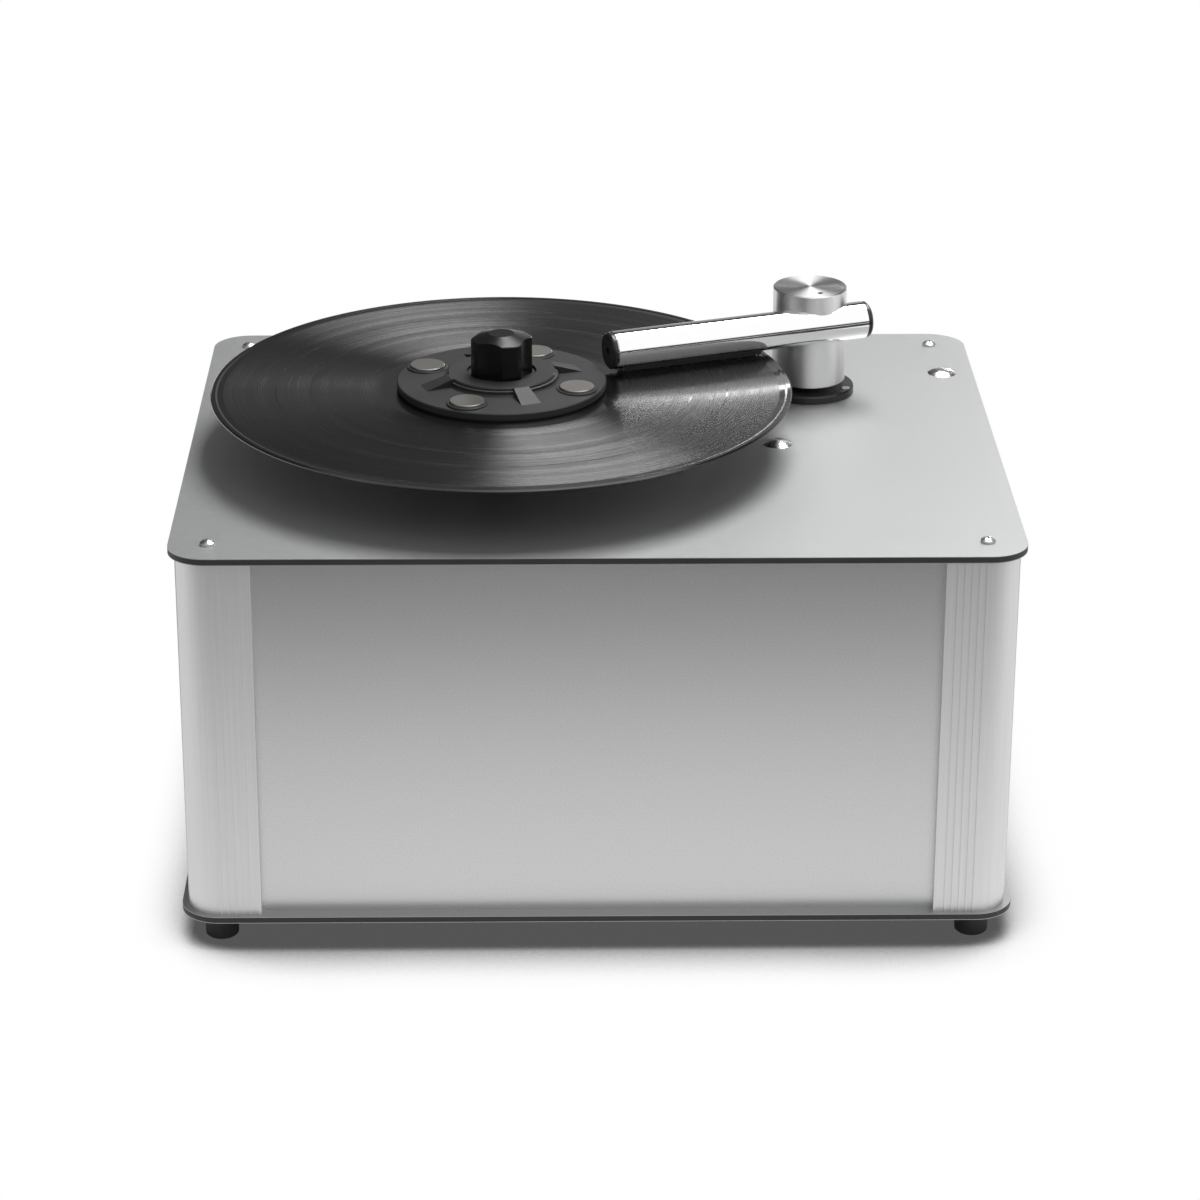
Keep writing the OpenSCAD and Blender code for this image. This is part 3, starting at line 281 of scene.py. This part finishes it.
def wall_aluminium():
    """Anodised sheet with a fine blasted mottle."""
    s = Surface("wall_aluminium", metallic=1.0)
    place = s.place()
    mottle = s.noise(place, 1100, 3, 0.65)
    fine = s.noise(place, 3000, 1)
    s.colour(s.mix(s.spread(mottle, 0.3, 0.7), grey(0.60), grey(0.70)))
    s.rough(s.spread(mottle, 0.3, 0.7, 0.36, 0.44))
    s.normal(s.bump(s.math("ADD", mottle, s.math("MULTIPLY", fine, 0.4)), 0.00002, 0.5))
    return s.material


def plated_steel(name, base, rough):
    """Zinc or nickel plating with small stains and handling marks."""
    s = Surface(name, metallic=1.0)
    place = s.place()
    stain = s.noise(place, 350, 3)
    fine = s.noise(place, 4000, 1)
    s.colour(s.mix(stain, grey(base*0.88, (1, 0.995, 0.98)), grey(base*1.08)))
    s.rough(s.spread(stain, 0.3, 0.7, rough - 0.05, rough + 0.06))
    s.normal(s.bump(fine, 0.00001, 0.3))
    return s.material


def magnet_nickel():
    """Nickel plating, slightly warm and satin."""
    s = Surface("magnet_nickel", metallic=1.0)
    place = s.place()
    stain = s.noise(place, 180, 2)
    fine = s.noise(place, 5000, 1)
    s.colour(s.mix(stain, (0.40, 0.385, 0.36, 1), (0.47, 0.455, 0.43, 1)))
    s.rough(s.spread(fine, 0.3, 0.7, 0.30, 0.36))
    s.normal(s.bump(fine, 0.000004, 0.3))
    return s.material


def turned_metal(name, base, rough, centre, shine=0.7, top=None):
    """Metal cut on a lathe: rings on its ends and fine lines round its sides."""
    s = Surface(name, metallic=1.0, Anisotropic=shine)
    place = s.place(centre)
    rings = s.noise(s.join(s.radius(place), 0.0, 0.0), 5200, 2, 0.6)
    lines = s.noise(place, 2600, 2, 0.6, (0.02, 0.02, 1))
    cut = s.math("ADD", s.math("MULTIPLY", rings, 0.5), s.math("MULTIPLY", lines, 0.5))
    streak = s.noise(place, 300, 2, 0.5, (1, 1, 0.02))
    colour = s.mix(cut, grey(base*0.92), grey(base*1.05))
    if top is not None:
        # The top end, painted darker than the sides as painted shade
        painted_shade_top = s.math("GREATER_THAN", s.part(s.place(), "Z"), top - TOP_SHADE_DEPTH)
        colour = s.mix(painted_shade_top, colour, grey(base*0.5))
    s.colour(colour)
    cut_rough = s.spread(cut, 0.3, 0.7, rough - 0.05, rough + 0.05)
    s.rough(s.math("ADD", cut_rough, s.spread(streak, 0.3, 0.7, -0.04, 0.04)))
    s.normal(s.bump(cut, 0.00001, 0.35))
    s.turned()
    return s.material


def tube_polish():
    """Drawn and polished tube: long hairlines in a bright finish."""
    s = Surface("tube_polish", metallic=1.0)
    along = Vector((math.cos(TUBE_ANGLE), math.sin(TUBE_ANGLE), 0))
    place = s.place(column_centre)
    run = s.vector("DOT_PRODUCT", place, tuple(along))
    side = s.vector("DOT_PRODUCT", place, (-along.y, along.x, 0))
    lengthwise = s.join(s.math("MULTIPLY", run, 0.012), side, s.part(place, "Z"))
    hair = s.noise(lengthwise, 3200, 3, 0.65)
    cloud = s.noise(place, 60, 2)
    s.colour(grey(0.90))
    hair_rough = s.spread(hair, 0.35, 0.75, 0.055, 0.13)
    s.rough(s.math("ADD", hair_rough, s.spread(cloud, 0.3, 0.7, 0.0, 0.02)))
    s.normal(s.bump(hair, 0.000004, 0.35))
    return s.material


def bronze():
    """Sintered bronze, oily and finely pored."""
    s = Surface("bush_bronze", metallic=1.0)
    place = s.place()
    pores = s.noise(place, 2500, 2)
    s.colour(s.mix(pores, (0.34, 0.20, 0.08, 1), (0.62, 0.42, 0.19, 1)))
    s.rough(s.spread(pores, 0.3, 0.7, 0.30, 0.48))
    s.normal(s.bump(pores, 0.00003, 0.6))
    return s.material


def motor_metal():
    """Drawn steel cans under a thin grey paint."""
    s = Surface("motor_metal", metallic=0.6)
    place = s.place()
    peel = s.noise(place, 600, 2)
    worn = s.noise(place, 45, 4, 0.65)
    s.colour(s.mix(s.spread(worn, 0.45, 0.65), grey(0.36, (0.97, 1, 1)), grey(0.46)))
    s.rough(s.spread(peel, 0.3, 0.7, 0.38, 0.5))
    s.normal(s.bump(peel, 0.00005, 0.5))
    return s.material


# Plastics, rubber and cloth


def moulded(name, colour, rough, grain, depth, tint=(1, 1, 1), **constants):
    """Moulded or turned plastic with a grain of that fineness and depth, and slightly uneven shine."""
    s = Surface(name, **constants)
    place = s.place()
    fine = s.noise(place, grain, 3, 0.6)
    cloud = s.noise(place, 40, 3)
    s.colour(s.mix(s.spread(cloud, 0.3, 0.7), grey(colour*0.85, tint), grey(colour*1.15, tint)))
    fine_rough = s.spread(fine, 0.3, 0.7, rough - 0.04, rough + 0.04)
    s.rough(s.math("ADD", fine_rough, s.spread(cloud, 0.3, 0.7, -0.03, 0.03)))
    s.normal(s.bump(fine, depth, 0.5))
    return s.material


def record_vinyl():
    """Vinyl whose grooved band shines across its grooves, with plain glossy bands between the tracks."""
    s = Surface("record_vinyl", Anisotropic=1.0, IOR=1.75, Specular_IOR_Level=0.8)
    place = s.place(record_centre)
    radius = s.radius(place)
    plain = s.math("GREATER_THAN", radius, LEAD_IN)
    plain = s.math("MAXIMUM", plain, s.math("LESS_THAN", radius, RUN_OUT))
    for gap in TRACK_GAPS:
        off = s.math("ABSOLUTE", s.math("SUBTRACT", radius, gap))
        plain = s.math("MAXIMUM", plain, s.math("LESS_THAN", off, GAP_WIDTH/2))
    rings = s.noise(s.join(radius, 0.0, 0.0), 520, 5, 0.8)
    tracks = s.noise(s.join(radius, 3.0, 0.0), 90, 2, 0.5)
    drift = s.noise(place, 25, 2)
    wave = s.math("ADD", rings, s.math("MULTIPLY", drift, 0.15))
    s.colour(s.mix(plain, grey(0.004), grey(0.006)))
    cut = s.math("ADD", s.spread(wave, 0.35, 0.8, 0.19, 0.31), s.spread(tracks, 0.35, 0.65, -0.03, 0.03))
    grooved = s.math("SUBTRACT", 1.0, plain)
    s.rough(s.math("ADD", s.math("MULTIPLY", cut, grooved), s.math("MULTIPLY", plain, 0.13)))
    s.normal(s.bump(s.math("MULTIPLY", rings, grooved), 0.0002, 0.35))
    s.turned()
    return s.material


def velvet():
    """Short black pile."""
    s = Surface("lip_velvet", Sheen_Weight=0.8, Sheen_Roughness=0.4)
    place = s.place()
    pile = s.noise(place, 3500, 3, 0.7)
    s.colour(s.mix(pile, grey(0.008), grey(0.035)))
    s.rough(0.95)
    s.normal(s.bump(pile, 0.0002, 0.8))
    return s.material


def clear_tube():
    """Flexible clear tube, slightly yellow and cloudy."""
    s = Surface("clear_tube", Transmission_Weight=0.85, IOR=1.4)
    cloud = s.noise(s.place(), 300, 2)
    s.colour(s.mix(cloud, (0.82, 0.88, 0.86, 1), (0.92, 0.95, 0.92, 1)))
    s.rough(s.spread(cloud, 0.3, 0.7, 0.08, 0.22))
    return s.material


def circuit_board():
    """Green board below, with dark parts that stand on it."""
    s = Surface("board_green")
    place = s.place()
    tall = s.math("GREATER_THAN", s.part(place, "Z"), board_low.z + BOARD_PARTS)
    copper = s.noise(place, 260, 1, 0.3, (1, 0.25, 1))
    weave = s.noise(place, 1800, 2)
    tracks = s.mix(s.spread(copper, 0.52, 0.54), (0.012, 0.10, 0.045, 1), (0.03, 0.20, 0.09, 1))
    cases = s.mix(weave, grey(0.02), grey(0.06, (0.9, 0.95, 1)))
    s.colour(s.mix(tall, tracks, cases))
    s.rough(s.spread(weave, 0.3, 0.7, 0.32, 0.45))
    s.normal(s.bump(weave, 0.00003, 0.4))
    return s.material


def make_materials():
    """One material for each slot of the record."""
    micron = 0.000001
    return {
        "sandwich_core": moulded("sandwich_core", colour=0.03, rough=0.55, grain=900, depth=80*micron),
        "sandwich_skin": sandwich_skin(),
        "post_aluminium": post_aluminium(),
        "wall_aluminium": wall_aluminium(),
        "foot_rubber": moulded("foot_rubber", colour=0.022, rough=0.6, grain=1200, depth=60*micron),
        "plated_screws": plated_steel("plated_screws", base=0.76, rough=0.32),
        "bright_bolts": plated_steel("bright_bolts", base=0.82, rough=0.24),
        "bearing_metal": turned_metal("bearing_metal", base=0.5, rough=0.35, centre=record_centre),
        "bush_bronze": bronze(),
        "shaft_steel": turned_metal("shaft_steel", base=0.66, rough=0.2, centre=record_centre),
        "spring_steel": plated_steel("spring_steel", base=0.5, rough=0.3),
        "motor_metal": motor_metal(),
        "black_plastic": moulded("black_plastic", colour=0.02, rough=0.3, grain=1600, depth=20*micron),
        "rocker_plastic": moulded("rocker_plastic", colour=0.022, rough=0.22, grain=2500, depth=10*micron),
        "mat_rubber": moulded("mat_rubber", colour=0.018, rough=0.62, grain=1300, depth=80*micron),
        "record_vinyl": record_vinyl(),
        "clamp_plastic": moulded("clamp_plastic", colour=0.02, rough=0.5, grain=2200, depth=20*micron),
        "knob_plastic": moulded(
            "knob_plastic", colour=0.005, rough=0.28, grain=2600, depth=10*micron, Specular_IOR_Level=0.3),
        "magnet_nickel": magnet_nickel(),
        "column_aluminium": turned_metal(
            "column_aluminium", base=0.88, rough=0.42, shine=0.8, centre=column_centre, top=column_high.z),
        "tube_polish": tube_polish(),
        "lip_velvet": velvet(),
        "dark_screw": plated_steel("dark_screw", base=0.2, rough=0.35),
        "tank_plastic": moulded(
            "tank_plastic", colour=0.66, rough=0.42, grain=500, depth=80*micron, tint=(1, 1, 0.97),
            Subsurface_Weight=0.15),
        "lid_plastic": moulded("lid_plastic", colour=0.06, rough=0.45, grain=900, depth=60*micron),
        "clear_tube": clear_tube(),
        "board_green": circuit_board(),
    }


def dress():
    """Gives every CAD node the material of its slot in the record."""
    made = make_materials()
    for part in frame["record"]["subparts"]:
        node = nodes[part["node"]]
        node.data.materials.clear()
        node.data.materials.append(made[part["material_slot"]])


# Stage


def card(name, size, place, facing):
    """A flat rectangle centred on place that faces along facing."""
    x, y = size[0]/2, size[1]/2
    mesh = bpy.data.meshes.new(name)
    mesh.from_pydata([(-x, -y, 0), (x, -y, 0), (x, y, 0), (-x, y, 0)], [], [(0, 1, 2, 3)])
    obj = link(bpy.data.objects.new(name, mesh))
    obj.location = place
    obj.rotation_euler = Vector(facing).to_track_quat("Z", "Y").to_euler()
    return obj


def plain(name, value):
    """A material that looks value bright wherever it is seen."""
    material = bpy.data.materials.new(name)
    tree = Tree(material)
    glow = tree.add("Emission")
    glow.inputs["Color"].default_value = grey(value)
    glow.inputs["Strength"].default_value = 1
    out = tree.add("OutputMaterial")
    tree.plug(glow.outputs[0], out.inputs["Surface"])
    return material


def floor_material():
    """White paper with the object's soft contact shadow, weak at its left side and absent at its right."""
    material = bpy.data.materials.new("floor_paper")
    tree = Tree(material)
    path = tree.add("LightPath")
    seen = tree.math("MAXIMUM", path.outputs["Is Camera Ray"], path.outputs["Is Glossy Ray"])
    seen = tree.math("MAXIMUM", seen, path.outputs["Is Transmission Ray"])
    paper = tree.add("BsdfDiffuse")
    paper.inputs["Color"].default_value = grey(0.9)
    near = tree.add("AmbientOcclusion", samples=16)
    near.inputs["Distance"].default_value = SHADOW_REACH
    open_share = tree.spread(near.outputs["AO"], 0.45, 0.84, smooth=True)
    across = tree.part(tree.place(), "X")
    right = tree.spread(across, cad_box[1].x - SIDE_INSIDE, cad_box[1].x + SIDE_OUTSIDE)
    left = tree.spread(across, cad_box[0].x - SIDE_OUTSIDE, cad_box[0].x + SIDE_INSIDE, 0.75, 0.0)
    shade = tree.math("SUBTRACT", 1.0, open_share)
    shade = tree.math("MULTIPLY", shade, tree.math("SUBTRACT", 1.0, tree.math("MAXIMUM", left, right)))
    white = tree.add("Emission")
    tree.plug(tree.mix(shade, grey(1.0), grey(SHADOW_LEVEL)), white.inputs["Color"])
    both = tree.add("MixShader")
    tree.plug(seen, both.inputs["Fac"])
    tree.plug(paper.outputs[0], both.inputs[1])
    tree.plug(white.outputs[0], both.inputs[2])
    out = tree.add("OutputMaterial")
    tree.plug(both.outputs[0], out.inputs["Surface"])
    return material


def make_world():
    """White for the camera. Mirrors see a backdrop low behind, a white wall front right and a dim room."""
    world = bpy.data.worlds.new("studio")
    scene.world = world
    tree = Tree(world)
    path = tree.add("LightPath")
    coordinates = tree.add("TexCoord")
    ray = coordinates.outputs["Generated"]
    x, y, z = (tree.part(ray, axis) for axis in "XYZ")
    behind = tree.spread(y, 0.35, 0.8, smooth=True)
    low = tree.spread(z, 0.30, 0.62, 1.0, 0.0, smooth=True)
    side = tree.spread(x, -0.10, 0.16, 0.08, 0.55, smooth=True)
    backdrop = tree.math("MULTIPLY", tree.math("MULTIPLY", behind, low), side)
    before = tree.spread(y, 0.14, -0.02, smooth=True)
    above_band = tree.spread(z, 0.06, 0.15, smooth=True)
    right = tree.spread(x, -0.30, 0.25, 0.45, 1.1, smooth=True)
    wall = tree.math("MULTIPLY", tree.math("MULTIPLY", before, above_band), right)
    room = tree.spread(z, -0.1, 0.5, 0.03, 0.05)
    level = tree.math("MAXIMUM", room, tree.math("MAXIMUM", wall, backdrop))
    level = tree.pick(path.outputs["Is Diffuse Ray"], level, ROOM_LIGHT)
    level = tree.pick(path.outputs["Is Camera Ray"], level, 1.0)
    sky = tree.add("Background")
    sky.inputs["Color"].default_value = (1, 1, 1, 1)
    tree.plug(level, sky.inputs["Strength"])
    out = tree.add("OutputWorld")
    tree.plug(sky.outputs[0], out.inputs["Surface"])


def lamp(name, radiance, size, place, target):
    """A soft box that faces target, hidden from the camera. A radiance of 1 is as bright as white paper."""
    data = bpy.data.lights.new(name, "AREA")
    data.shape = "RECTANGLE"
    data.size, data.size_y = size
    data.energy = radiance*math.pi*size[0]*size[1]
    obj = link(bpy.data.objects.new(name, data))
    obj.location = place
    obj.rotation_euler = (place - target).to_track_quat("Z", "Y").to_euler()
    obj.visible_camera = False


def make_stage():
    floor = card("floor", FLOOR_SIZE, (0, 0, 0), (0, 0, 1))
    floor.data.materials.append(floor_material())
    dark = card("dark_front", DARK_SIZE, DARK_PLACE, (0, 0, 1))
    dark.data.materials.append(plain("dark_front", DARK_LEVEL))
    dark.visible_camera = False
    dark.visible_diffuse = False
    dark.visible_shadow = False
    make_world()
    key_place = record_centre + KEY_OFFSET
    below_key = Vector((key_place.x, key_place.y, 0))
    lamp("key", KEY_RADIANCE, KEY_SIZE, key_place, below_key)
    lamp("streak", STREAK_RADIANCE, STREAK_SIZE, record_centre + STREAK_OFFSET, record_centre)


make_camera()
dress()
make_stage()
